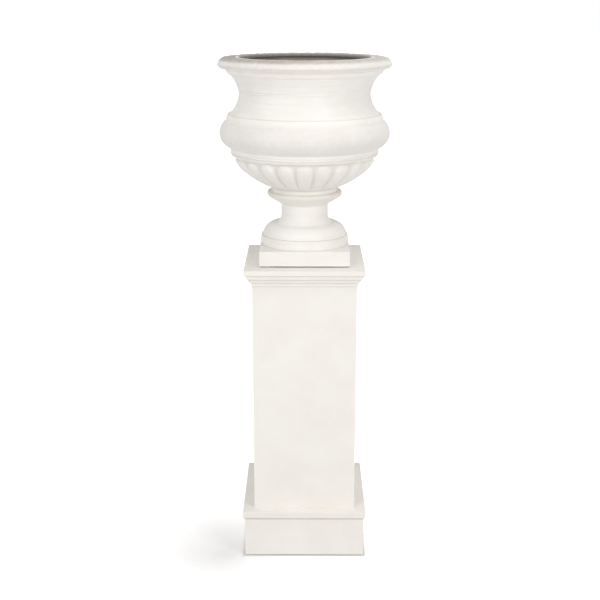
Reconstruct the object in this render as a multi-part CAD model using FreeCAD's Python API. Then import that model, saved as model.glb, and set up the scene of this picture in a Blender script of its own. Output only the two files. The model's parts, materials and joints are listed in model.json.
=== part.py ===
import FreeCAD, Part
import math
import os

# An urn planter on a square pedestal. Sizes are in millimetres and +Z is up. The origin is on the
# floor under the middle of the plinth.

os.makedirs("parts", exist_ok=True)
Vec = FreeCAD.Vector
up = Vec(0, 0, 1)
middle = Vec(0, 0, 0)

# Pedestal: floor glides, plinth block and base slab
glide_radius = 14
glide_thickness = 2.5
nail_radius = 1.2
nail_length = 16
plinth_width = 308
plinth_height = 103.5
plinth_board = 18
plinth_nose = 6              # rounding along the plinth's top edge
plinth_block = 40            # side of the square corner blocks
slab_width = 317
slab_thickness = 20
slab_rebate = 2              # setback along the slab's bottom edge
slab_rebate_height = 4
slab_line_depth = 0.8        # the fine line round the slab's edge
slab_line_height = 1.2
slab_line_drop = 8           # from the slab's top to the middle of the line

# Pedestal: shaft and cap
shaft_width = 260
shaft_height = 625
shaft_board = 16
shaft_block = 25             # side of the glue blocks in the shaft's corners
bulkhead_thickness = 18
cap_width = 300
cap_thickness = 14
cap_edge = 3.5               # rounding under the cap board's edge
edge_easing = 1              # softening of the boards' outer corners
moulding_projection = 15     # the moulding's flat band, out from the shaft
band_height = 8.5
upper_cove_height = 9.5
upper_cove_top = 12.5        # projections of the two coves' upper and lower ends
upper_cove_foot = 8
lower_cove_height = 8
lower_cove_top = 6.5
lower_cove_foot = 2
moulding_fillet = 4.5        # the flat under the lower cove
cove_depth = 1.5

# Wood screws
screw_radius = 2.25
screw_head_radius = 4.5
screw_head_height = 3
screw_tip = 5
screw_sink = 1               # how deep the heads lie under the surface
cap_screw_bite = 9           # how far the screws reach into the second piece
slab_screw_bite = 14
plinth_screw_bite = 28
cap_screw_place = 75         # X and Y of the screws, from the middle
slab_screw_place = 70
pilot_clearance = 0.1

# Urn foot, from the bottom up: heights
pad_thickness = 3
pad_radius = 15
pad_margin = 8               # from the pads to the foot's edge
foot_plinth_width = 225
foot_plinth_height = 37
foot_plinth_easing = 1.5
foot_band_height = 26
cushion_height = 28
flare_height = 17
stem_height = 31
cup_height = 20
ring_height = 14
collar_height = 11

# Urn foot: radii and how far each rounded stretch stands proud of its chord
foot_band_radius = 111
foot_band_taper = 2
foot_band_swell = 1.2
cushion_radius = 105.5
cushion_top_radius = 71
cushion_swell = 9.5
flare_radius = 69
flare_hollow = 1.5
stem_radius = 59
cup_radius = 91
ring_swell = 3.5
collar_radius = 81
collar_swell = 1
core_radius = 42             # hollow of the stem
core_foot_radius = 60        # hollow of the foot's lower part
foot_top_plate = 16

# Urn bowl, from the bottom up: heights
lobe_turn_height = 35        # from the seat to the steeper part of the lobed bowl
lobe_head_height = 31
lobe_crown_height = 10
lower_bead_height = 12
fillet_height = 10
belly_foot_height = 33
belly_head_height = 32
belly_step = 1
astragal_height = 18.5
neck_height = 94
upper_bead_height = 11.5
rim_step = 3
rim_foot_height = 9
rim_top_height = 17.7
lip_drop = 4.5

# Urn bowl: radii and swells
seat_radius = 87
lobe_turn_radius = 149
lobe_turn_swell = 3
lobe_head_radius = 175
lobe_head_swell = 2.2
lobe_crown_radius = 177
lobe_crown_swell = 0.5
fillet_radius = 185.5
lower_bead_swell = 1.8
belly_radius = 212.5
belly_foot_swell = 6.3
belly_head_radius = 200
belly_head_swell = 3.7
astragal_foot_radius = 195.5
astragal_head_radius = 189.5
astragal_swell = 2
neck_edge_radius = 184.5
waist_radius = 163
neck_hollow = 4.3
upper_bead_foot_radius = 186
upper_bead_head_radius = 195.5
upper_bead_swell = 1.5
rim_foot_radius = 202
rim_radius = 215
rim_foot_swell = 2.4
rim_crest_radius = 191
rim_top_swell = 6.6
lip_swell = 2.2

# Urn bowl: inside
bowl_wall = 14
bowl_floor = 16
bowl_floor_radius = 75
ledge_drop = 7.5             # from the lip down to the ledge that carries the liner
flute_count = 22
flute_tool_radius = 9
flute_depth = 5
flute_head_clearance = 9     # from the flutes' middle to the bead above them

# Clamp between bowl and foot
bolt_radius = 6
bolt_hole_clearance = 1
bolt_head_width = 19         # across flats, also of the nut
bolt_head_height = 7.5
bolt_overrun = 6             # bolt end past the nut
nut_height = 10
nut_clearance = 0.1
washer_radius = 20
washer_thickness = 3
seal_thickness = 3
drain_radius = 5
drain_place = 30             # from the axis
drain_count = 3

# Planting liner
liner_height = 190
liner_wall = 2.5
liner_floor = 3
liner_slope = 0.145          # how much its radius grows over each mm of height
liner_flange_height = 6
liner_waist_gap = 10         # clearances to the bowl: at its waist,
liner_ledge_gap = 3          # at the ledge's inner edge
liner_flange_gap = 2.5       # and round the flange
liner_flange_lap = 5.5       # how far the flange lies on the ledge
liner_drain_radius = 6
liner_drain_place = 60
liner_drain_count = 4

# Levels, from the floor up
plinth_z = glide_thickness
slab_z = plinth_z + plinth_height
shaft_z = slab_z + slab_thickness
cap_z = shaft_z + shaft_height
pad_z = cap_z + cap_thickness
foot_z = pad_z + pad_thickness
foot_band_z = foot_z + foot_plinth_height
cushion_z = foot_band_z + foot_band_height
flare_z = cushion_z + cushion_height
stem_z = flare_z + flare_height
cup_z = stem_z + stem_height
ring_z = cup_z + cup_height
collar_z = ring_z + ring_height
bowl_z = collar_z + collar_height
lobe_turn_z = bowl_z + lobe_turn_height
lobe_head_z = lobe_turn_z + lobe_head_height
lower_bead_z = lobe_head_z + lobe_crown_height
fillet_z = lower_bead_z + lower_bead_height
belly_z = fillet_z + fillet_height
belly_middle_z = belly_z + belly_foot_height
belly_top_z = belly_middle_z + belly_head_height
astragal_z = belly_top_z + belly_step
neck_z = astragal_z + astragal_height
waist_z = neck_z + neck_height / 2
upper_bead_z = neck_z + neck_height
upper_bead_top_z = upper_bead_z + upper_bead_height
rim_foot_z = upper_bead_top_z + rim_step
rim_middle_z = rim_foot_z + rim_foot_height
rim_top_z = rim_middle_z + rim_top_height
lip_z = rim_top_z - lip_drop
ledge_z = lip_z - ledge_drop
bowl_floor_z = bowl_z + bowl_floor
liner_top_z = ledge_z + liner_flange_height
liner_bottom_z = liner_top_z - liner_height

shaft_inside = shaft_width / 2 - shaft_board
plinth_inside = plinth_width / 2 - plinth_board
plinth_block_place = plinth_inside - plinth_block / 2
shaft_block_place = shaft_inside - shaft_block / 2
bolt_hole_radius = bolt_radius + bolt_hole_clearance

# The liner fits the bowl's waist, and the bowl's ledge and opening fit the liner.
liner_waist_radius = waist_radius - bowl_wall - liner_waist_gap
liner_top_radius = liner_waist_radius + liner_slope * (ledge_z - waist_z)
liner_bottom_radius = liner_top_radius - liner_slope * (ledge_z - liner_bottom_z)
throat_radius = liner_top_radius + liner_ledge_gap
liner_flange_radius = throat_radius + liner_flange_lap
opening_radius = liner_flange_radius + liner_flange_gap
reach = slab_width + plinth_width      # longer than any piece


def save(node, *solids):
    shape = solids[0] if len(solids) == 1 else Part.makeCompound(list(solids))
    shape.exportStep("parts/" + node + ".step")


def outline(points):
    """Closed face in the XZ plane through (x, z) points.

    A third number is how far the stretch to that point stands out from its chord, as an arc. The
    points run round the face with its inside on their left, so a positive one bulges outwards."""
    edges = []
    previous = points[-1]
    for point in points:
        start = Vec(previous[0], 0, previous[1])
        end = Vec(point[0], 0, point[1])
        swell = point[2] if len(point) > 2 else 0
        if swell:
            chord = end - start
            outward = Vec(chord.z, 0, -chord.x).normalize()
            crown = (start + end) * 0.5 + outward * swell
            edges.append(Part.Arc(start, crown, end).toShape())
        else:
            edges.append(Part.LineSegment(start, end).toShape())
        previous = point
    return Part.Face(Part.Wire(edges))


def turned(points):
    return outline(points).revolve(middle, up, 360)


def cylinder(radius, z_low, z_high, x=0, y=0):
    return Part.makeCylinder(radius, z_high - z_low, Vec(x, y, z_low))


def square(width, z_low, z_high, x=0, y=0, easing=0):
    block = Part.makeBox(width, width, z_high - z_low, Vec(x - width / 2, y - width / 2, z_low))
    if easing:
        block = block.makeFillet(easing, upright_edges(block))
    return block


def upright_edges(shape):
    return [edge for edge in shape.Edges if edge.BoundBox.XLength + edge.BoundBox.YLength < 0.01]


def rim_edges(shape, z):
    """The outer edges that lie flat at height z."""
    flat = [edge for edge in shape.Edges if abs(edge.BoundBox.ZMax - z) + edge.BoundBox.ZLength < 0.01]
    return flat


def four_corners(place):
    return [(x * place, y * place) for x in (-1, 1) for y in (-1, 1)]


def corner_names(stem):
    return [stem + "_left_front", stem + "_left_back", stem + "_right_front", stem + "_right_back"]


def ring_of_places(count, radius):
    turns = [2 * math.pi * index / count for index in range(count)]
    return [(radius * math.cos(turn), radius * math.sin(turn)) for turn in turns]


def mitred(stem, section, envelope):
    """Four lengths of one section round the pedestal, mitred at the corners.

    The section is given for the right side, and the envelope eases the outer corners."""
    low, high = section.BoundBox.ZMin, section.BoundBox.ZMax
    length = section.copy()
    length.translate(Vec(0, -reach / 2, 0))
    length = length.extrude(Vec(0, reach, 0))
    corners = [Vec(0, 0, low), Vec(reach, -reach, low), Vec(reach, reach, low), Vec(0, 0, low)]
    wedge = Part.Face(Part.makePolygon(corners)).extrude(Vec(0, 0, high - low))
    right = length.common(wedge).common(envelope)
    for index, side in enumerate(("right", "back", "left", "front")):
        piece = right.copy()
        piece.rotate(middle, up, 90 * index)
        save(stem + "_" + side, piece.Solids[0])


def wood_screw(x, y, head_z, clamped, bite, points_up, clearance=0):
    """A countersunk screw whose head lies screw_sink under the surface at head_z."""
    length = clamped - screw_sink + bite
    shank = screw_radius + clearance
    head = screw_head_radius + clearance
    screw = turned([
        (0, 0), (head, 0), (shank, screw_head_height), (shank, length - screw_tip), (0, length + clearance),
    ])
    if not points_up:
        screw.rotate(middle, Vec(1, 0, 0), 180)
    screw.translate(Vec(x, y, head_z + (screw_sink if points_up else -screw_sink)))
    return screw


def sink_hole(x, y, head_z, points_up):
    """The open end of a countersunk hole, above the screw's head."""
    low = head_z if points_up else head_z - screw_sink
    return cylinder(screw_head_radius + pilot_clearance, low, low + screw_sink, x, y)


def screw_set(place, head_z, clamped, bite, points_up):
    """The screws at the four corners, and the holes that they need."""
    screws = []
    holes = []
    for x, y in four_corners(place):
        screws.append(wood_screw(x, y, head_z, clamped, bite, points_up))
        holes.append(wood_screw(x, y, head_z, clamped, bite, points_up, pilot_clearance))
        holes.append(sink_hole(x, y, head_z, points_up))
    return screws, holes


def hexagon(width, z_low, z_high):
    corner = width / math.sqrt(3)
    turns = [math.pi * side / 3 for side in range(7)]
    corners = [Vec(corner * math.cos(turn), corner * math.sin(turn), z_low) for turn in turns]
    return Part.Face(Part.makePolygon(corners)).extrude(Vec(0, 0, z_high - z_low))


def plinth_pieces(screw_holes):
    half = plinth_width / 2
    nose_swell = plinth_nose * (1 - math.sqrt(0.5))
    section = outline([
        (plinth_inside, plinth_z), (half, plinth_z), (half, slab_z - plinth_nose),
        (half - plinth_nose, slab_z, nose_swell), (plinth_inside, slab_z),
    ])
    mitred("plinth", section, square(plinth_width, plinth_z, slab_z, easing=edge_easing))
    glides = []
    nail_top = plinth_z + nail_length
    for name, (x, y) in zip(corner_names("plinth_block"), four_corners(plinth_block_place)):
        glide = cylinder(glide_radius, 0, plinth_z, x, y)
        glides.append(glide.fuse(cylinder(nail_radius, plinth_z, nail_top, x, y)).removeSplitter())
        block = square(plinth_block, plinth_z, slab_z, x, y)
        block = block.cut(cylinder(nail_radius + pilot_clearance, plinth_z, nail_top, x, y))
        save(name, block.cut(screw_holes))
    save("floor_glides", *glides)


def slab_piece(screw_holes):
    slab = square(slab_width, slab_z, shaft_z, easing=edge_easing)
    slab = slab.makeFillet(edge_easing, rim_edges(slab, shaft_z))
    rebate_top = slab_z + slab_rebate_height
    rebate = square(reach, slab_z, rebate_top)
    rebate = rebate.cut(square(slab_width - 2 * slab_rebate, slab_z, rebate_top, easing=edge_easing))
    line_low = shaft_z - slab_line_drop - slab_line_height / 2
    line_high = line_low + slab_line_height
    line = square(reach, line_low, line_high)
    line = line.cut(square(slab_width - 2 * slab_line_depth, line_low, line_high, easing=edge_easing))
    save("base_slab", slab.cut([rebate, line] + screw_holes))


def shaft_pieces(slab_holes, cap_holes):
    section = outline([
        (shaft_inside, shaft_z), (shaft_width / 2, shaft_z), (shaft_width / 2, cap_z), (shaft_inside, cap_z),
    ])
    mitred("shaft", section, square(shaft_width, shaft_z, cap_z, easing=edge_easing))
    low_board_top = shaft_z + bulkhead_thickness
    high_board_bottom = cap_z - bulkhead_thickness
    save("bottom_bulkhead", square(2 * shaft_inside, shaft_z, low_board_top).cut(slab_holes))
    save("top_bulkhead", square(2 * shaft_inside, high_board_bottom, cap_z).cut(cap_holes))
    for name, (x, y) in zip(corner_names("shaft_block"), four_corners(shaft_block_place)):
        save(name, square(shaft_block, low_board_top, high_board_bottom, x, y))


def cap_pieces(cap_holes):
    half = cap_width / 2
    board = square(cap_width, cap_z, pad_z, easing=edge_easing)
    board = board.makeFillet(edge_easing, rim_edges(board, pad_z))
    edge_ring = square(reach, cap_z, cap_z + cap_edge)
    edge_core = Part.makeBox(2 * half, 2 * half, cap_edge, Vec(-half, -half, cap_z))
    edge_core = edge_core.makeFillet(cap_edge * 0.98, rim_edges(edge_core, cap_z))
    board = board.cut(edge_ring.cut(edge_core))
    save("cap_board", board.cut(cap_holes))

    face = shaft_width / 2
    band_z = cap_z - band_height
    upper_z = band_z - upper_cove_height
    lower_z = upper_z - lower_cove_height
    bottom_z = lower_z - moulding_fillet
    section = outline([
        (face, bottom_z), (face + lower_cove_foot, bottom_z), (face + lower_cove_foot, lower_z),
        (face + lower_cove_top, upper_z, -cove_depth), (face + upper_cove_foot, upper_z),
        (face + upper_cove_top, band_z, -cove_depth), (face + moulding_projection, band_z),
        (face + moulding_projection, cap_z), (face, cap_z),
    ])
    mitred("cap_moulding", section, square(reach, bottom_z, cap_z))


def drain_holes(z_low, z_high):
    places = ring_of_places(drain_count, drain_place)
    return [cylinder(drain_radius, z_low, z_high, x, y) for x, y in places]


def foot_pieces():
    """The cast foot: a square plinth with the turned mouldings on it, cored from below."""
    body = turned([
        (0, foot_band_z), (foot_band_radius, foot_band_z),
        (foot_band_radius - foot_band_taper, cushion_z, foot_band_swell), (cushion_radius, cushion_z),
        (cushion_top_radius, flare_z, cushion_swell), (flare_radius, flare_z),
        (stem_radius, stem_z, -flare_hollow), (stem_radius, cup_z),
        (cup_radius, ring_z), (cup_radius, collar_z, ring_swell),
        (collar_radius, collar_z), (collar_radius, bowl_z, collar_swell), (0, bowl_z),
    ])
    block = square(foot_plinth_width, foot_z, foot_band_z, easing=foot_plinth_easing)
    block = block.makeFillet(foot_plinth_easing, rim_edges(block, foot_band_z))
    plate_z = bowl_z - foot_top_plate
    core = turned([
        (0, foot_z), (core_foot_radius, foot_z), (core_foot_radius, cushion_z),
        (core_radius, flare_z), (core_radius, plate_z), (0, plate_z),
    ])
    bolt_hole = cylinder(bolt_hole_radius, plate_z, bowl_z)
    foot = block.fuse(body).removeSplitter()
    save("urn_foot", foot.cut([core, bolt_hole] + drain_holes(plate_z, bowl_z)))

    pad_place = foot_plinth_width / 2 - pad_margin - pad_radius
    save("urn_pads", *[cylinder(pad_radius, pad_z, foot_z, x, y) for x, y in four_corners(pad_place)])
    return plate_z


def flute_tool():
    """One groove between two lobes: a round bar bent along the bowl, with a rounded head."""
    start = Vec(seat_radius, 0, bowl_z)
    turn = Vec(lobe_turn_radius, 0, lobe_turn_z)
    head = Vec(lobe_head_radius, 0, lobe_head_z)
    bowl_arc = Part.Arc(start, turn, head).toShape().Curve
    centre = bowl_arc.Center
    bend = bowl_arc.Radius + flute_tool_radius - flute_depth

    def angle_of(point):
        return math.degrees(math.atan2(point.z - centre.z, point.x - centre.x))

    first = angle_of(start) - math.degrees(flute_tool_radius / bend)
    head_z = lower_bead_z - flute_head_clearance
    last = math.degrees(math.asin((head_z - centre.z) / bend))
    bar_start = centre + Vec(bend, 0, 0)
    bar = Part.Face(Part.Wire(Part.makeCircle(flute_tool_radius, bar_start, up)))
    bar.rotate(centre, Vec(0, -1, 0), first)
    groove = bar.revolve(centre, Vec(0, -1, 0), last - first)
    angle = math.radians(last)
    head_centre = centre + Vec(bend * math.cos(angle), 0, bend * math.sin(angle))
    return groove.fuse(Part.makeSphere(flute_tool_radius, head_centre)).removeSplitter()


def bowl_pieces():
    """The cast bowl: outside from the seat up to the rim, then the inside down to its floor."""
    outside = [
        (bolt_hole_radius, bowl_z), (seat_radius, bowl_z),
        (lobe_turn_radius, lobe_turn_z, lobe_turn_swell), (lobe_head_radius, lobe_head_z, lobe_head_swell),
        (lobe_crown_radius, lower_bead_z, lobe_crown_swell), (fillet_radius, fillet_z, lower_bead_swell),
        (fillet_radius, belly_z), (belly_radius, belly_middle_z, belly_foot_swell),
        (belly_head_radius, belly_top_z, belly_head_swell), (astragal_foot_radius, astragal_z),
        (astragal_head_radius, neck_z, astragal_swell), (neck_edge_radius, neck_z),
        (waist_radius, waist_z, -neck_hollow), (neck_edge_radius, upper_bead_z, -neck_hollow),
        (upper_bead_foot_radius, upper_bead_z), (upper_bead_head_radius, upper_bead_top_z, upper_bead_swell),
        (rim_foot_radius, rim_foot_z), (rim_radius, rim_middle_z, rim_foot_swell),
        (rim_crest_radius, rim_top_z, rim_top_swell), (opening_radius, lip_z, lip_swell),
    ]
    slope = bowl_wall * math.sqrt(0.5)
    inside = [
        (opening_radius, ledge_z), (throat_radius, ledge_z),
        (waist_radius - bowl_wall, waist_z), (neck_edge_radius - bowl_wall, neck_z, neck_hollow),
        (belly_radius - bowl_wall, belly_middle_z, -belly_foot_swell),
        (fillet_radius - bowl_wall, belly_z, -belly_head_swell),
        (lobe_turn_radius - slope, lobe_turn_z + slope, -lobe_turn_swell),
        (bowl_floor_radius, bowl_floor_z, -lobe_turn_swell), (bolt_hole_radius, bowl_floor_z),
    ]
    bowl = turned(outside + inside)
    flute = flute_tool()
    tools = drain_holes(bowl_z, bowl_floor_z)
    for index in range(flute_count):
        groove = flute.copy()
        groove.rotate(middle, up, -90 + 360 * (index + 0.5) / flute_count)
        tools.append(groove)
    save("urn_bowl", bowl.cut(tools))


def clamp_pieces(plate_z):
    """Bolt, washers and nut, stacked on the bowl's floor and under the foot's top plate."""
    washer_z = bowl_floor_z + seal_thickness
    head_z = washer_z + washer_thickness
    nut_top = plate_z - washer_thickness
    nut_z = nut_top - nut_height
    hole = cylinder(bolt_hole_radius, nut_top, head_z)
    save("sealing_washer", cylinder(washer_radius, bowl_floor_z, washer_z).cut(hole))
    save("bolt_washer", cylinder(washer_radius, washer_z, head_z).cut(hole))
    save("nut_washer", cylinder(washer_radius, nut_top, plate_z).cut(hole))
    head = hexagon(bolt_head_width, head_z, head_z + bolt_head_height)
    shank = cylinder(bolt_radius, nut_z - bolt_overrun, head_z)
    save("clamp_bolt", head.fuse(shank).removeSplitter())
    nut = hexagon(bolt_head_width, nut_z, nut_top)
    save("clamp_nut", nut.cut(cylinder(bolt_radius + nut_clearance, nut_z, nut_top)))


def liner_piece():
    """A tapered pot that hangs by its flange on the bowl's ledge."""
    floor_top_z = liner_bottom_z + liner_floor
    liner = turned([
        (0, liner_bottom_z), (liner_bottom_radius, liner_bottom_z), (liner_top_radius, ledge_z),
        (liner_flange_radius, ledge_z), (liner_flange_radius, liner_top_z),
        (liner_top_radius - liner_wall, liner_top_z), (liner_bottom_radius - liner_wall, floor_top_z),
        (0, floor_top_z),
    ])
    places = [(0, 0)] + ring_of_places(liner_drain_count, liner_drain_place)
    holes = [cylinder(liner_drain_radius, liner_bottom_z, floor_top_z, x, y) for x, y in places]
    save("planting_liner", liner.cut(holes))


plinth_screws, plinth_holes = screw_set(
    plinth_block_place, shaft_z, slab_thickness, plinth_screw_bite, points_up=False)
slab_screws, slab_holes = screw_set(
    slab_screw_place, slab_z, slab_thickness, slab_screw_bite, points_up=True)
cap_screws, cap_holes = screw_set(
    cap_screw_place, cap_z - bulkhead_thickness, bulkhead_thickness, cap_screw_bite, points_up=True)
save("plinth_screws", *plinth_screws)
save("slab_screws", *slab_screws)
save("cap_screws", *cap_screws)

plinth_pieces(plinth_holes)
slab_piece(plinth_holes + slab_holes)
shaft_pieces(slab_holes, cap_holes)
cap_pieces(cap_holes)
clamp_pieces(foot_pieces())
bowl_pieces()
liner_piece()
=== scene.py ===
import json
import math

import bpy
import numpy as np
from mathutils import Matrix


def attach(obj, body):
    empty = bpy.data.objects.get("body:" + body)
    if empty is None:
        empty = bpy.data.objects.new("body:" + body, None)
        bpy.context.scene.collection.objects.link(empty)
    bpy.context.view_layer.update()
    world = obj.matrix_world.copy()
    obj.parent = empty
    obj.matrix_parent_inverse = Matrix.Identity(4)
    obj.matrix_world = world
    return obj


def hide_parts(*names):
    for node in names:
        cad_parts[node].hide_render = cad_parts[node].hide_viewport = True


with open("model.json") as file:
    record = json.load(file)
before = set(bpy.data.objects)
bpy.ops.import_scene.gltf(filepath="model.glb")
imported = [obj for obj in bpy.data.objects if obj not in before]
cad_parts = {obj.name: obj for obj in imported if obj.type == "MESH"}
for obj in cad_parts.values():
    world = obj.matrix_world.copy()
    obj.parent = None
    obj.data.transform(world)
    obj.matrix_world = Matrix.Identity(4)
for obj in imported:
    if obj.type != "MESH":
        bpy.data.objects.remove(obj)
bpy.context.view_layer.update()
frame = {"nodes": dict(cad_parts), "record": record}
print("frame loaded:", len(frame["nodes"]), "nodes")

millimetre = 0.001


# Material helpers

def addNode(tree, kind, inputs=None, **attributes):
    made = tree.nodes.new(kind)
    for attribute, value in attributes.items():
        setattr(made, attribute, value)
    for socket, value in (inputs or {}).items():
        if isinstance(value, bpy.types.NodeSocket):
            tree.links.new(value, made.inputs[socket])
        else:
            made.inputs[socket].default_value = value
    return made


def linear(colour):
    # a colour as it shows on a screen, 0 to 255, turned into the light that a shader takes
    share = np.array(colour, float) / 255
    light = np.where(share <= 0.04045, share / 12.92, ((share + 0.055) / 1.055) ** 2.4)
    return (*light.tolist(), 1.0)


def startMaterial(name, roughness, specular=0.3):
    material = bpy.data.materials.new(name)
    material.use_nodes = True
    tree = material.node_tree
    shader = tree.nodes["Principled BSDF"]
    shader.inputs["Roughness"].default_value = roughness
    shader.inputs["Specular IOR Level"].default_value = specular
    place = addNode(tree, "ShaderNodeTexCoord").outputs["Object"]
    return material, tree, shader, place


def noise(tree, place, scale, detail=3, rough=0.5, stretch=(1, 1, 1)):
    if stretch != (1, 1, 1):
        place = addNode(tree, "ShaderNodeMapping", {"Vector": place, "Scale": stretch}).outputs["Vector"]
    made = addNode(tree, "ShaderNodeTexNoise", {
        "Vector": place, "Scale": scale, "Detail": detail, "Roughness": rough})
    return made.outputs["Fac"]


def maths(tree, operation, first, second=0.0):
    return addNode(tree, "ShaderNodeMath", {0: first, 1: second}, operation=operation).outputs[0]


def ranged(tree, value, low, high, toLow=0.0, toHigh=1.0):
    return addNode(tree, "ShaderNodeMapRange", {
        "Value": value, "From Min": low, "From Max": high, "To Min": toLow, "To Max": toHigh,
    }).outputs["Result"]


def mixed(tree, share, first, second):
    made = addNode(tree, "ShaderNodeMix", {0: share, 6: first, 7: second}, data_type="RGBA")
    return made.outputs[2]


def attribute(tree, name):
    return addNode(tree, "ShaderNodeAttribute", attribute_name=name).outputs["Fac"]


def bumped(tree, height, strength, distance, normal=None):
    inputs = {"Height": height, "Strength": strength, "Distance": distance}
    if normal is not None:
        inputs["Normal"] = normal
    return addNode(tree, "ShaderNodeBump", inputs).outputs["Normal"]


castCoat = {
    "colour": (245, 243, 239),       # cream coat over the cast stone
    "mottle": (241, 238, 233),
    "crease": (214, 205, 192),       # dust in the creases, with painted shade darkening them
    "rimWash": (158, 147, 139),      # the rim's weathered top with painted shade, and painted shade on the belly and roll
    "grime": (70, 67, 63),           # painted shade under the inner lip
    "speck": (214, 206, 194),
    "roughness": 0.62,
    "cloudScale": 14,                # the noise of each pattern, in cells for each metre
    "speckScale": 420,
    "blotchScale": 75,
    "grainScale": 900,
    "turningStretch": (3, 3, 210),   # long round the urn and short up it
    "grainDepth": 0.0004,            # metres
    "turningDepth": 0.0017,
}


def castStoneCoat():
    use = castCoat
    material, tree, shader, place = startMaterial("castStoneCoat", use["roughness"])
    clouds = ranged(tree, noise(tree, place, use["cloudScale"], 4, 0.6), 0.35, 0.7)
    colour = mixed(tree, clouds, linear(use["colour"]), linear(use["mottle"]))
    specks = ranged(tree, noise(tree, place, use["speckScale"], 2, 0.7), 0.66, 0.8, 0, 0.5)
    colour = mixed(tree, specks, colour, linear(use["speck"]))
    blotches = ranged(tree, noise(tree, place, use["blotchScale"], 3, 0.6), 0.3, 0.7, 0.7, 1)
    # weathering with painted shade on the rim, painted shade on the belly and on the liner's flange
    wash = maths(tree, "MULTIPLY", attribute(tree, "weathered"), blotches)
    colour = mixed(tree, wash, colour, linear(use["rimWash"]))
    colour = mixed(tree, attribute(tree, "crevice"), colour, linear(use["crease"]))
    colour = mixed(tree, attribute(tree, "grime"), colour, linear(use["grime"]))
    tree.links.new(colour, shader.inputs["Base Color"])
    grain = noise(tree, place, use["grainScale"], 3, 0.6)
    turning = noise(tree, place, 1, 3, 0.6, stretch=use["turningStretch"])
    turning = maths(tree, "MULTIPLY", turning, attribute(tree, "turned"))
    normal = bumped(tree, grain, 0.25, use["grainDepth"])
    normal = bumped(tree, turning, 1.0, use["turningDepth"], normal)
    tree.links.new(normal, shader.inputs["Normal"])
    return material


paintCoat = {
    "colour": (241, 238, 233),
    "mottle": (237, 233, 227),
    "seam": (190, 178, 163),         # painted shade along the joints and under the mouldings
    "seams": [                       # height and reach in millimetres, and strength, of each painted shade line
        (106, 2.6, 0.8), (721.3, 2, 0.36), (732.3, 1.8, 0.32), (741.3, 2, 0.4), (752, 1.8, 0.35),
    ],
    "roughness": 0.5,
    "cloudScale": 9,
    "brushStretch": (260, 260, 14),  # brush marks run up the boards
    "brushDepth": 0.0005,
    "rippleScale": 22,
    "rippleDepth": 0.003,
}


def paintedWood():
    use = paintCoat
    material, tree, shader, place = startMaterial("paintedWood", use["roughness"])
    clouds = ranged(tree, noise(tree, place, use["cloudScale"], 4, 0.6), 0.35, 0.7)
    colour = mixed(tree, clouds, linear(use["colour"]), linear(use["mottle"]))
    height = addNode(tree, "ShaderNodeSeparateXYZ", {"Vector": place}).outputs["Z"]
    # painted shade lines at these heights
    for level, reach, share in use["seams"]:
        away = maths(tree, "ABSOLUTE", maths(tree, "SUBTRACT", height, level * millimetre))
        dust = ranged(tree, away, 0, reach * millimetre, share, 0)
        colour = mixed(tree, dust, colour, linear(use["seam"]))
    tree.links.new(colour, shader.inputs["Base Color"])
    brushing = noise(tree, place, 1, 3, 0.6, stretch=use["brushStretch"])
    ripple = noise(tree, place, use["rippleScale"], 2, 0.5)
    normal = bumped(tree, brushing, 0.22, use["brushDepth"])
    normal = bumped(tree, ripple, 0.25, use["rippleDepth"], normal)
    tree.links.new(normal, shader.inputs["Normal"])
    return material


softwood = {"early": (214, 180, 135), "late": (176, 136, 92), "grainStretch": (90, 90, 4), "roughness": 0.7}


def bareWood():
    use = softwood
    material, tree, shader, place = startMaterial("bareWood", use["roughness"])
    grain = noise(tree, place, 1, 5, 0.6, stretch=use["grainStretch"])
    colour = mixed(tree, ranged(tree, grain, 0.35, 0.65), linear(use["early"]), linear(use["late"]))
    tree.links.new(colour, shader.inputs["Base Color"])
    tree.links.new(bumped(tree, grain, 0.3, 0.0005), shader.inputs["Normal"])
    return material


linerPlastic = {
    "colour": (196, 178, 164),
    "worn": (170, 152, 138),
    "edge": (58, 56, 53),            # painted shade on the liner's flange, under the bowl's lip
    "roughness": 0.55,
    "cloudScale": 25,
    "grainScale": 700,
    "grainDepth": 0.0003,
}


def mouldedLiner():
    use = linerPlastic
    material, tree, shader, place = startMaterial("mouldedLiner", use["roughness"])
    clouds = ranged(tree, noise(tree, place, use["cloudScale"], 3, 0.5), 0.35, 0.7)
    colour = mixed(tree, clouds, linear(use["colour"]), linear(use["worn"]))
    # painted shade on the flange
    colour = mixed(tree, attribute(tree, "weathered"), colour, linear(use["edge"]))
    tree.links.new(colour, shader.inputs["Base Color"])
    grain = noise(tree, place, use["grainScale"], 2, 0.6)
    tree.links.new(bumped(tree, grain, 0.2, use["grainDepth"]), shader.inputs["Normal"])
    return material


def plainFinish(name, colour, second, scale, roughness, metallic=0.0, stretch=(1, 1, 1)):
    material, tree, shader, place = startMaterial(name, roughness, 0.5)
    shader.inputs["Metallic"].default_value = metallic
    streaks = noise(tree, place, scale, 3, 0.6, stretch)
    tree.links.new(mixed(tree, ranged(tree, streaks, 0.35, 0.65), linear(colour), linear(second)),
                   shader.inputs["Base Color"])
    tree.links.new(bumped(tree, streaks, 0.2, 0.0002), shader.inputs["Normal"])
    return material


finishes = {
    "cast_stone": castStoneCoat(),
    "painted_wood": paintedWood(),
    "bare_wood": bareWood(),
    "liner_plastic": mouldedLiner(),
    "rubber": plainFinish("paleRubber", (214, 206, 193), (204, 196, 183), 300, 0.8),
    "steel": plainFinish(
        "zincedSteel", (190, 190, 192), (165, 166, 170), 1, 0.35, metallic=1.0, stretch=(60, 60, 900)),
    "glide_plastic": plainFinish("glidePlastic", (52, 48, 44), (40, 37, 34), 200, 0.6),
}
print("materials made")


# Turned surfaces

tracing = {
    "spacing": 0.4,                  # millimetres between the points of a traced outline
    "closeness": 14,                 # how much closer the rows stand where the outline bends
    "bendReach": 0.9,                # how far a bend draws rows to itself
    "hollowReach": 3,                # the width that shows how deep a hollow corner is
}


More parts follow.
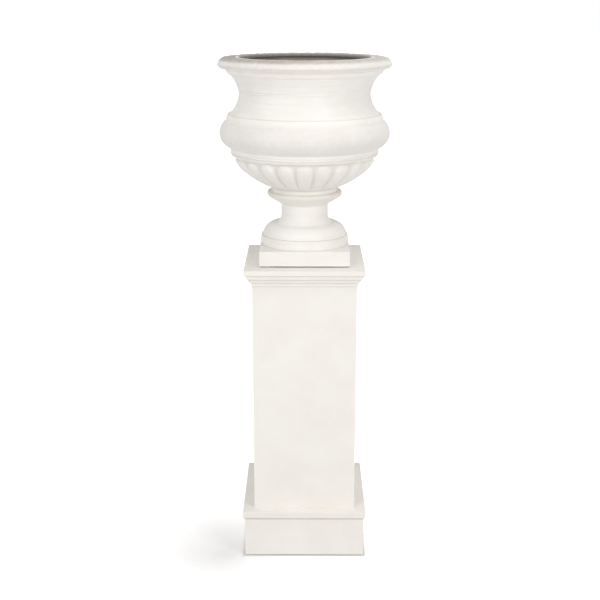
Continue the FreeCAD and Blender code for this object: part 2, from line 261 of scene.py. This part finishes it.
def tracedOutline(steps):
    # points every spacing along a closed outline: each step is radius, height, swell and squareness,
    # and a swell bends the stretch that leads to it into an arc that stands out by that much
    spacing = tracing["spacing"]
    rows = [tuple(step) + (0,) * (4 - len(step)) for step in steps]
    pieces = []
    for before, after in zip([rows[-1]] + rows[:-1], rows):
        start, end = np.array(before[:2], float), np.array(after[:2], float)
        length = np.hypot(*(end - start))
        along = (end - start) / length
        outward = np.array([along[1], -along[0]])
        share = np.linspace(0, 1, max(3, int(length / spacing * 1.5)), endpoint=False)[:, None]
        path = start + (end - start) * share
        if after[2]:
            radius = (length ** 2 / 4 + after[2] ** 2) / (2 * after[2])
            turn = np.arcsin(length / 2 / radius) * (2 * share - 1)
            centre = (start + end) / 2 + outward * (after[2] - radius)
            path = centre + radius * (outward * np.cos(turn) + along * np.sin(turn))
        square = before[3] + (after[3] - before[3]) * share
        pieces.append(np.hstack([path, square]))
    path = np.vstack(pieces)
    return evenly(path, int(round(travelled(path)[-1] / spacing)))


def travelled(path):
    # how far along the closed path each point lies, and at the end its whole length
    steps = np.hypot(*(np.roll(path, -1, axis=0) - path)[:, :2].T)
    return np.concatenate([[0], np.cumsum(steps)])


def evenly(path, count, weight=None):
    # count points on the closed path, closer together where weight is larger
    closed = np.vstack([path, path[:1]])
    steps = np.diff(travelled(path))
    if weight is not None:
        steps = steps * weight
    gone = np.concatenate([[0], np.cumsum(steps)])
    wanted = np.linspace(0, gone[-1], count, endpoint=False)
    return np.stack([np.interp(wanted, gone, column) for column in closed.T], axis=1)


def softened(path, reach):
    # a running average along the closed path with a bell-shaped weight of the given reach
    spacing = tracing["spacing"]
    half = int(4 * reach / spacing) + 1
    offsets = np.arange(-half, half + 1)
    bell = np.exp(-0.5 * (offsets * spacing / reach) ** 2)
    bell /= bell.sum()
    count = len(path)
    around = np.arange(count)[:, None] + offsets[None, :]
    return np.einsum("k,ikc->ic", bell, path[around % count])


def outwardNormals(path):
    along = np.roll(path, -1, axis=0)[:, :2] - np.roll(path, 1, axis=0)[:, :2]
    along /= np.hypot(*along.T)[:, None]
    return np.stack([along[:, 1], -along[:, 0]], axis=1)


def profileRows(steps, count, softness, extra=None):
    # the outline with its corners softened, cut into count rows that crowd where it bends, and how
    # deep each row lies in a hollow corner, in millimetres
    path = softened(tracedOutline(steps), softness)
    normals = outwardNormals(path)
    bend = np.hypot(*(np.roll(normals, -2, axis=0) - np.roll(normals, 2, axis=0)).T)
    drawn = softened(np.minimum(bend, 0.5)[:, None] * 2, tracing["bendReach"])[:, 0]
    weight = 1 + tracing["closeness"] * drawn
    if extra is not None:
        weight = weight * extra(path)
    hollow = ((softened(path, tracing["hollowReach"]) - path)[:, :2] * normals).sum(axis=1)
    both = np.hstack([path, hollow[:, None]])
    return evenly(both, count, weight)


def squareShare(angles, half, corner):
    # radius of a square with rounded corners in each direction, over its half width
    turn = np.abs((angles + math.pi / 4) % (math.pi / 2) - math.pi / 4)
    straight = 1 / np.cos(turn)
    inner = half - corner
    middle = inner * (np.cos(turn) + np.sin(turn))
    rounded = (middle + np.sqrt(np.maximum(middle ** 2 - 2 * inner ** 2 + corner ** 2, 0))) / half
    return np.where(np.tan(turn) * half > inner, rounded, straight)


def ringSurface(name, rows, angles, raised=None, corner=0.0):
    # point = (radius cos angle, radius sin angle, height), radius and height from the rows; raised
    # moves each point along the outline's outward direction, in millimetres
    radius = rows[:, 0][:, None] + 0 * angles[None, :]
    height = rows[:, 1][:, None] + 0 * angles[None, :]
    square = rows[:, 2][:, None]
    if corner:
        share = squareShare(angles, rows[:, 0][rows[:, 2] > 0.99].max(), corner)[None, :]
        radius = radius * (1 - square + square * share)
    if raised is not None:
        normals = outwardNormals(rows)
        radius = radius + raised * normals[:, :1]
        height = height + raised * normals[:, 1:]
    points = np.stack([radius * np.cos(angles), radius * np.sin(angles), height], axis=-1) * millimetre
    across, around = radius.shape
    index = np.arange(across * around).reshape(across, around)
    ahead = np.roll(index, -1, axis=1)
    faces = np.stack([index, ahead, np.roll(ahead, -1, axis=0), np.roll(index, -1, axis=0)], axis=-1)
    mesh = bpy.data.meshes.new(name)
    mesh.from_pydata(points.reshape(-1, 3).tolist(), [], faces.reshape(-1, 4).tolist())
    mesh.shade_smooth()
    piece = bpy.data.objects.new(name, mesh)
    bpy.context.scene.collection.objects.link(piece)
    return piece


def setFields(piece, rows, angles, **fields):
    # each field is one number, a value for each row, or a value for each point
    for name, values in fields.items():
        values = np.asarray(values, float)
        if values.ndim == 1:
            values = values[:, None]
        whole = values + np.zeros((len(rows), len(angles)))
        field = piece.data.attributes.new(name, "FLOAT", "POINT")
        field.data.foreach_set("value", np.ascontiguousarray(whole, np.float32).ravel())


def wavyField(heightCount, turnCount, cellsUp, cellsRound, dice):
    # smooth random hills: random values on a coarse grid that closes round, eased between its points
    coarse = dice.uniform(-1, 1, (cellsUp + 1, cellsRound))
    up = np.linspace(0, cellsUp - 1e-6, heightCount)
    turn = np.arange(turnCount) * cellsRound / turnCount
    low, left = up.astype(int), turn.astype(int)
    shareUp, shareTurn = up - low, turn - left
    shareUp = (shareUp ** 2 * (3 - 2 * shareUp))[:, None]
    shareTurn = (shareTurn ** 2 * (3 - 2 * shareTurn))[None, :]
    right = (left + 1) % cellsRound
    bottom = coarse[low][:, left] * (1 - shareTurn) + coarse[low][:, right] * shareTurn
    top = coarse[low + 1][:, left] * (1 - shareTurn) + coarse[low + 1][:, right] * shareTurn
    return bottom * (1 - shareUp) + top * shareUp


def rise(values, low, high):
    # 0 below low, 1 above high, and an easy curve between them
    share = np.clip((values - low) / (high - low), 0, 1)
    return share ** 2 * (3 - 2 * share)


def band(values, low, lowEnd, high, highEnd):
    # 1 from lowEnd to high, easing to 0 at low and at highEnd
    return rise(values, low, lowEnd) * (1 - rise(values, high, highEnd))


def drilled(piece, holes):
    # round holes through the piece, evenly spaced on a circle round the axis
    turns = np.arange(holes["count"]) * 2 * math.pi / holes["count"]
    places = holes["circle"] * np.stack([np.cos(turns), np.sin(turns)], axis=1)
    low, high = holes["heights"]
    meshes = []
    for x, y in places:
        bpy.ops.mesh.primitive_cylinder_add(
            vertices=24, radius=holes["radius"] * millimetre, depth=(high - low) * millimetre,
            location=(x * millimetre, y * millimetre, (low + high) / 2 * millimetre))
        meshes.append(bpy.context.object)
    for tool in meshes:
        cut = piece.modifiers.new("hole", "BOOLEAN")
        cut.operation = "DIFFERENCE"
        cut.object = tool
    depsgraph = bpy.context.evaluated_depsgraph_get()
    finished = bpy.data.meshes.new_from_object(piece.evaluated_get(depsgraph))
    piece.modifiers.clear()
    piece.data = finished
    for tool in meshes:
        bpy.data.objects.remove(tool)


def finishPiece(piece, body, slot, *nodes):
    piece.data.materials.clear()
    piece.data.materials.append(finishes[slot])
    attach(piece, body)
    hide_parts(*nodes)
    print(piece.name, "made:", len(piece.data.polygons), "faces")


# The bowl: outline in millimetres, from the seat up the outside, then down the inside

bowl = {
    "outline": [
        (7, 952), (87, 952), (149, 987, 3.1), (175.3, 1018, 2.3), (177, 1028, 0.5), (185.4, 1038.4, 2),
        (183, 1039.8), (183, 1041), (185.2, 1042.4, 0.3), (185.5, 1050),
        (212.5, 1083, 6.3), (200, 1115, 3.7), (195.5, 1116), (189.5, 1134.5, 2), (184.5, 1134.5),
        (163, 1181.5, -4.3), (184.5, 1228.5, -4.3), (186, 1228.5), (195.5, 1240, 1.5),
        (202, 1243), (215, 1252, 2.4), (191, 1269.8, 6.6), (174, 1268.9, -0.4),
        (167.5, 1270.7, 0.4), (163, 1269, 0.8), (161, 1265.2, 0.3),
        (161, 1257.7), (153, 1257.7), (149, 1181.5), (170.5, 1134.5, 4.3), (198.5, 1083, -6.3),
        (171.5, 1050, -3.7), (139.1, 996.9, -3), (75, 968, -3), (7, 968),
    ],
    "rows": 196,
    "columns": 484,
    "softness": 0.7,
    "seat": (20, 952),               # a point on the seat, where the rows start
    "lobes": 22,
    "lobeTop": 1028,                 # the lobes end under the bead
    "lobeDepth": 0.3,                # depth of the valleys, as a share of a lobe's half width
    "lobeBulge": 0.42,               # share of that depth that the lobe's round back takes
    "valley": (0.42, 0.92),          # where the valley's side starts and ends, over the half width
    "headLength": 1.15,              # length of the rounded head, in half widths
    "headCut": 0.86,                 # the bead hides the rest of the head
    "lobeFootRadii": (88, 104),      # the lobes fade out between these, down to the seat
    "headHeights": (1000, 1030),
    "openingRadius": 163,
    "crowding": (0.35, 3.2, 2.2),    # rows inside, over the heads and on the rim, to 1 elsewhere
    "reliefHeight": 0.8,             # the rim's hand-worked relief
    "reliefCell": 8,
    "reliefFoot": 1246,
    "reliefRadii": (168, 185),       # the relief fades out between these, towards the opening
    "reliefGrids": (60, 100),        # its cells along the outline, coarse and fine
    "rimRadius": 215,
    "unevenness": 0.2,
    "unevenGrid": (24, 34),          # its cells along the outline and round the bowl
    "creaseDepths": (0.25, 1.1),     # dust and painted shade grow from none to full between these depths
    "valleyDust": (0.55, 0.36),      # where the valleys' dust and painted shade start, and their strength
    "throat": 162.2,                 # the painted shade under the lip lies inside this radius
    "grimeHeights": (1244, 1256, 1265.5, 1267.5),    # where it starts, is full, fades and ends
    "farLip": (160, 172, 1262, 0.34),                # the far side's painted shade: its radii, lowest height and strength
    "washHeights": (1258, 1269.5),   # the wash and painted shade on the rim's roll grow between these inside the roll they lie between these radii, above the next height
    "washRadii": (156, 170),         # inside the roll the wash lies between these, above washFoot
    "washFoot": 1256,
    "washTurn": (0.78, 0.22),        # its strength, and how much less it is on the right, as painted light from that side
    "ridge": (1269.6, 171, 0.15),    # above and inside these, the ridge's near part has this lighter wash, a painted highlight
    "neckHeights": (1134, 1140, 1222, 1228),
    "turning": (0.3, 1.5),           # depth of the turning lines all over, and what the neck adds
    "bellyHeights": (1044, 1072, 1104, 1130),
    "rollHeights": (1243, 1250),
    "bellyTurn": (0.42, 0.58),       # the painted shade's share at the back, and what the front adds
    "bellyWash": 0.21,               # painted shade on the belly and the roll, as a share of the rim's wash
    "seed": 7,
    "drains": {"count": 3, "circle": 30, "radius": 5, "heights": (940, 980)},
}


def lobeRelief(rows, angles, use):
    # how far the surface lies below the lobes' crests: away from a crest it falls with the square of
    # the distance, across the lobe and round its head, and then steeply into the valley
    outside = (rows[:, 1] < use["lobeTop"]) & (np.arange(len(rows)) < np.argmax(rows[:, 0]))
    steps = np.hypot(*np.diff(rows[:, :2], axis=0, prepend=rows[:1, :2]).T)
    gone = np.cumsum(steps)
    halfWidth = np.pi * rows[:, 0] / use["lobes"]
    topGone = gone[outside][-1]
    topWidth = halfWidth[outside][-1]
    head = (gone - topGone) / (use["headLength"] * topWidth) + use["headCut"]
    phase = ((angles + math.pi / 2) * use["lobes"] / (2 * math.pi) + 0.5) % 1 * 2 - 1
    away = np.sqrt(phase[None, :] ** 2 + np.maximum(head, 0)[:, None] ** 2)
    away = np.minimum(away, 1)
    low, high = use["valley"]
    sunk = use["lobeBulge"] * away ** 2 + (1 - use["lobeBulge"]) * rise(away, low, high)
    low, high = use["lobeFootRadii"]
    share = (outside * rise(rows[:, 0], low, high))[:, None]
    return sunk * share, sunk * share * use["lobeDepth"] * halfWidth[:, None]


def makeBowl():
    use = bowl
    dice = np.random.default_rng(use["seed"])

    def crowd(path):
        # more rows over the lobes' heads and the rim, and fewer inside
        before = np.arange(len(path)) < np.argmax(path[:, 0])
        inside = (np.arange(len(path)) > np.argmax(path[:, 1])) & (path[:, 0] < use["openingRadius"])
        low, high = use["headHeights"]
        heads = before & (path[:, 1] > low) & (path[:, 1] < high)
        rim = path[:, 1] > use["reliefFoot"]
        few, most, many = use["crowding"]
        return np.where(inside, few, np.where(heads, most, np.where(rim, many, 1.0)))

    rows = profileRows(use["outline"], use["rows"], use["softness"], extra=crowd)
    startRadius, startHeight = use["seat"]
    first = np.argmin(np.abs(rows[:, 1] - startHeight) + np.abs(rows[:, 0] - startRadius))
    rows = np.roll(rows, -first, axis=0)
    angles = np.arange(use["columns"]) * 2 * math.pi / use["columns"] - math.pi / 2
    radius, height, hollow = rows[:, 0], rows[:, 1], -rows[:, 3]
    outside = np.arange(len(rows)) < np.argmax(height) + 8

    # the shape: lobes, the rim's relief and a slight unevenness
    valley, depth = lobeRelief(rows, angles, use)
    cellsRound = int(2 * math.pi * use["rimRadius"] / use["reliefCell"])
    coarse, fine = use["reliefGrids"]
    relief = wavyField(len(rows), use["columns"], coarse, cellsRound, dice)
    relief = relief + 0.6 * wavyField(len(rows), use["columns"], fine, cellsRound * 2, dice)
    rimShare = rise(height, use["reliefFoot"], use["reliefFoot"] + 6) * rise(radius, *use["reliefRadii"])
    raised = -depth + (rimShare * outside)[:, None] * use["reliefHeight"] * (relief - 0.3)
    uneven = wavyField(len(rows), use["columns"], *use["unevenGrid"], dice)
    raised = raised + (outside & (radius > 90))[:, None] * use["unevenness"] * (uneven - 0.8)
    piece = ringSurface("urnBowl", rows, angles, raised)

    # dust and painted shade in the creases and the lobes' valleys
    start, strength = use["valleyDust"]
    crevice = (rise(hollow, *use["creaseDepths"]) * outside)[:, None]
    crevice = np.maximum(crevice, rise(valley, start, 1) * strength)

    # the weathered rim with painted shade on its upward top, fainter on its right as painted light, a painted
    # highlight on its inner ridge's near part, and painted shade on the belly and the roll, stronger at the
    # front
    crest, ridgeRadius, ridgeWash = use["ridge"]
    # painted highlight on the near part of the inner ridge
    near = np.sin(angles) < 0.2
    ridge = ((height > crest) & (radius < ridgeRadius))[:, None] & near[None, :]
    low, high = use["washRadii"]
    rim = rise(height, *use["washHeights"]) * (radius > high) + (radius < high) * (height > use["washFoot"])
    # painted light: the wash thins towards the right
    level, drop = use["washTurn"]
    rim = (rim * (radius > low))[:, None] * (level - drop * np.cos(angles))[None, :]
    # painted shade on the belly and the roll, stronger at the front
    front = np.maximum(-np.sin(angles), 0)
    atBack, added = use["bellyTurn"]
    belly = band(height, *use["bellyHeights"]) + rise(height, *use["rollHeights"])
    belly = (belly * outside)[:, None] * (atBack + added * front) * use["bellyWash"]
    weathered = np.maximum(np.where(ridge, ridgeWash, rim), belly)

    # painted shade under the inner lip, and a little on the far side's ridge
    inner, outer, foot, share = use["farLip"]
    farLip = (radius < outer) & (radius > inner) & (height > foot)
    farSide = rise(np.sin(angles), 0, 0.3)
    grime = (radius < use["throat"]) * band(height, *use["grimeHeights"])
    grime = np.maximum(grime[:, None], farLip[:, None] * share * farSide[None, :])

    everywhere, onNeck = use["turning"]
    turned = everywhere + onNeck * band(height, *use["neckHeights"]) * outside
    setFields(piece, rows, angles, crevice=crevice, weathered=weathered, grime=grime, turned=turned)
    drilled(piece, use["drains"])
    finishPiece(piece, "urn", "cast_stone", "urn_bowl")


# The foot: turned mouldings on a square block

foot = {
    "turned": [
        (42, 804.5), (111, 804.5), (109, 831, 1.2), (105.5, 831), (71, 859, 9.5), (69, 859),
        (59, 876, -1.5), (59, 907), (91, 927), (91, 941, 3.5), (81, 941), (81, 952, 1),
        (7, 952), (7, 936), (42, 936), (42, 859),
    ],
    "block": [
        (60, 768, 0, 0), (112.5, 768, 0, 1), (112.5, 805, 0, 1), (60, 805, 0, 0),
    ],
    "rows": 110,
    "columns": 240,
    "softness": 0.7,
    "creaseDepths": (0.15, 1.1),
    "turning": 1.2,
    "drains": {"count": 3, "circle": 30, "radius": 5, "heights": (925, 960)},
    "blockRows": 48,
    "blockCorner": 1.8,
    "blockCornerSpread": 0.06,       # radians on each side of a corner, with blockCornerSteps in them
    "blockCornerSteps": 12,
    "blockSideSteps": 9,
    "blockWash": 0.06,
}


def cornerAngles(spread, count, perSide):
    # directions round a square, crowded near its corners
    side = np.linspace(-math.pi / 4 + spread, math.pi / 4 - spread, perSide)
    corner = np.linspace(math.pi / 4 - spread, math.pi / 4 + spread, count + 2)[1:-1]
    quarter = np.concatenate([side, corner])
    return np.concatenate([quarter + turn * math.pi / 2 for turn in range(4)])


def makeFoot():
    use = foot
    rows = profileRows(use["turned"], use["rows"], use["softness"])
    angles = np.arange(use["columns"]) * 2 * math.pi / use["columns"]
    body = ringSurface("urnFoot", rows, angles)
    # dust and painted shade in the foot's creases
    crevice = rise(-rows[:, 3], *use["creaseDepths"])
    setFields(body, rows, angles, crevice=crevice, weathered=0, grime=0, turned=use["turning"])
    drilled(body, use["drains"])
    blockRows = profileRows(use["block"], use["blockRows"], use["softness"])
    blockAngles = cornerAngles(use["blockCornerSpread"], use["blockCornerSteps"], use["blockSideSteps"])
    block = ringSurface("urnFootBlock", blockRows, blockAngles, corner=use["blockCorner"])
    setFields(block, blockRows, blockAngles, crevice=0, weathered=use["blockWash"], grime=0, turned=0)
    finishPiece(body, "urn", "cast_stone", "urn_foot")
    finishPiece(block, "urn", "cast_stone", "urn_foot")


# The liner

liner = {
    "outline": [
        (6, 1073.7), (123.4, 1073.7), (150, 1257.7), (158.5, 1257.7), (158.5, 1263.7), (147.5, 1263.7),
        (120.9, 1076.7), (6, 1076.7),
    ],
    "rows": 64,
    "columns": 128,
    "softness": 0.5,
    "edgeHeights": (1260, 1261.5),   # the flange's painted shade starts here
    "drains": {"count": 4, "circle": 60, "radius": 6, "heights": (1060, 1085)},
}


def makeLiner():
    use = liner
    rows = profileRows(use["outline"], use["rows"], use["softness"])
    angles = np.arange(use["columns"]) * 2 * math.pi / use["columns"]
    piece = ringSurface("plantingLiner", rows, angles)
    setFields(piece, rows, angles, weathered=rise(rows[:, 1], *use["edgeHeights"]))
    drilled(piece, use["drains"])
    finishPiece(piece, "liner", "liner_plastic", "planting_liner")


makeBowl()
makeFoot()
makeLiner()

slotOf = {part["node"]: part["material_slot"] for part in frame["record"]["subparts"]}
for name, shape in frame["nodes"].items():
    shape.data.materials.clear()
    shape.data.materials.append(finishes[slotOf[name]])
print("finishes on the", len(slotOf), "nodes")


# Stage, light and camera

stage = {
    "floorSize": 60,
    "floorColour": 0.8,
    "floorGlow": 0.14,               # light added for the camera alone, so that the lit floor shows white; this least amount leaves a painted shadow
    "farGlow": 0.9,                  # the same, away from the painted shadow
    "shadowCentre": (-0.21, -0.15, 0),
    "shadowReach": (0, 0.52),        # metres from there, between which the glow grows
    "contact": (156, 165),           # millimetres from the axis: a painted contact shadow, no glow inside the first, all past the second
    "ambient": 0.46,
    "ambientColour": (1, 0.995, 0.985, 1),
    "lampColour": (1, 0.996, 0.988),
    "lamps": [
        # name, azimuth in degrees, distance and height, sides, and power
        ("keyLamp", 42, 3.0, 1.6, (1.3, 1.5), 31),
        ("fillLamp", -42, 3.0, 1.6, (1.3, 1.5), 27.5),
        ("sideLamp", 80, 1.0, 3.2, (1.5, 1.5), 12),
        ("topLamp", -25, 1.3, 3.0, (1.5, 1.5), 9.5),
    ],
    "aim": (0, 0, 0.75),
}


def straightRay(tree):
    # 1 for rays that come from the camera, a mirror or glass, and 0 for the rest
    path = addNode(tree, "ShaderNodeLightPath").outputs
    first = maths(tree, "MAXIMUM", path["Is Camera Ray"], path["Is Glossy Ray"])
    return maths(tree, "MAXIMUM", first, path["Is Transmission Ray"])


def floorGlow(tree):
    # a painted shadow: least glow at the shadow's centre and more away from it, and a painted contact shadow
    # with none under the plinth
    place = addNode(tree, "ShaderNodeTexCoord").outputs["Object"]
    aside = addNode(tree, "ShaderNodeVectorMath", {0: place, 1: stage["shadowCentre"]}, operation="SUBTRACT")
    away = addNode(tree, "ShaderNodeVectorMath", {0: aside.outputs[0]}, operation="LENGTH").outputs["Value"]
    glow = ranged(tree, away, *stage["shadowReach"], stage["floorGlow"], stage["farGlow"])
    flat = addNode(tree, "ShaderNodeSeparateXYZ", {"Vector": place}).outputs
    across = maths(tree, "MAXIMUM", maths(tree, "ABSOLUTE", flat["X"]), maths(tree, "ABSOLUTE", flat["Y"]))
    low, high = stage["contact"]
    return maths(tree, "MULTIPLY", glow, ranged(tree, across, low * millimetre, high * millimetre))


def makeFloor():
    half = stage["floorSize"] / 2
    corners = [(-half, -half, 0), (half, -half, 0), (half, half, 0), (-half, half, 0)]
    mesh = bpy.data.meshes.new("floor")
    mesh.from_pydata(corners, [], [(0, 1, 2, 3)])
    floor = bpy.data.objects.new("floor", mesh)
    bpy.context.scene.collection.objects.link(floor)
    material = bpy.data.materials.new("paleFloor")
    material.use_nodes = True
    tree = material.node_tree
    tree.nodes.clear()
    shade = stage["floorColour"]
    matt = addNode(tree, "ShaderNodeBsdfDiffuse", {"Color": (shade, shade, shade, 1)})
    strength = maths(tree, "MULTIPLY", straightRay(tree), floorGlow(tree))
    light = addNode(tree, "ShaderNodeEmission", {"Color": (1, 1, 1, 1), "Strength": strength})
    both = addNode(tree, "ShaderNodeAddShader", {0: matt.outputs[0], 1: light.outputs[0]})
    addNode(tree, "ShaderNodeOutputMaterial", {"Surface": both.outputs[0]})
    mesh.materials.append(material)


def makeSurroundings():
    world = bpy.data.worlds.new("studio")
    bpy.context.scene.world = world
    world.use_nodes = True
    tree = world.node_tree
    tree.nodes.clear()
    soft = addNode(tree, "ShaderNodeBackground", {
        "Color": stage["ambientColour"], "Strength": stage["ambient"]}).outputs[0]
    white = addNode(tree, "ShaderNodeBackground", {"Color": (1, 1, 1, 1), "Strength": 1.0}).outputs[0]
    seen = addNode(tree, "ShaderNodeMixShader", {0: straightRay(tree), 1: soft, 2: white})
    addNode(tree, "ShaderNodeOutputWorld", {"Surface": seen.outputs[0]})


def makeLamps():
    for name, azimuth, distance, height, sides, power in stage["lamps"]:
        turn = math.radians(azimuth)
        light = bpy.data.lights.new(name, "AREA")
        light.shape = "RECTANGLE"
        light.size, light.size_y = sides
        light.energy = power
        light.color = stage["lampColour"]
        lamp = bpy.data.objects.new(name, light)
        lamp.location = (distance * math.sin(turn), -distance * math.cos(turn), height)
        aim = lamp.location.copy()
        aim.xyz = stage["aim"]
        lamp.rotation_euler = (aim - lamp.location).to_track_quat("-Z", "Y").to_euler()
        bpy.context.scene.collection.objects.link(lamp)


view = {
    "distance": 2.8127,              # from the urn's axis, level
    "height": 1.4285,
    "pitch": 15.445,                 # degrees below level
    "yaw": 0.238,                    # the axis lies a little right of the picture's middle
    "lens": 67.4,
    "sensor": 36,
}


def makeCamera():
    camera = bpy.data.objects.new("camera", bpy.data.cameras.new("camera"))
    camera.data.lens = view["lens"]
    camera.data.sensor_width = view["sensor"]
    camera.location = (0, -view["distance"], view["height"])
    camera.rotation_euler = (math.radians(90 - view["pitch"]), 0, math.radians(view["yaw"]))
    bpy.context.scene.collection.objects.link(camera)
    bpy.context.scene.camera = camera


makeFloor()
makeSurroundings()
makeLamps()
makeCamera()
bpy.context.scene.view_settings.view_transform = "Standard"
print("stage, light and camera ready")
